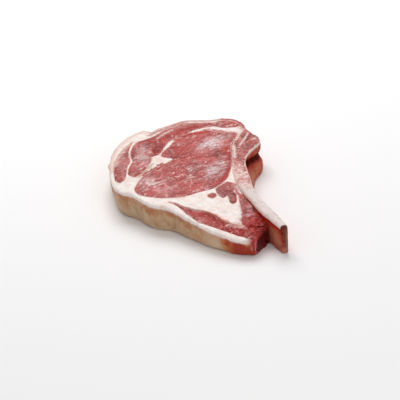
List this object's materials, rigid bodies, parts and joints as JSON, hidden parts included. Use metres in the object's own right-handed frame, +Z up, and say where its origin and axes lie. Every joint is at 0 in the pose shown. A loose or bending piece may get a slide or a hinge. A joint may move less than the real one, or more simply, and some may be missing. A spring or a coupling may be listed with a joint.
{
  "type": "raw bone-in rib steak",
  "caption": "Thick raw rib steak on the bone: marbled red muscles in cream-white fat, with a curved rib along one side that stands free at its end. Lies flat on a cut face.",
  "frame": {"origin": "under the middle of the steak's box, on the surface that it lies on", "axes": "+Z up out of the upper cut face; +Y from the free end of the rib towards the sawn end and the cap muscle; +X towards the rib"},
  "size_m": [0.1784, 0.2654, 0.0329],
  "materials": {
    "muscle": "moist",
    "fat": "satin",
    "bone": "satin"
  },
  "bodies": {
    "root": {"fat": "fat", "eye_muscle": "muscle", "cap_muscle": "muscle", "outer_muscle": "muscle", "flank_muscle": "muscle", "rib_lobes": "muscle", "small_muscle": "muscle", "rib_bone": "bone"}
  },
  "joints": []
}
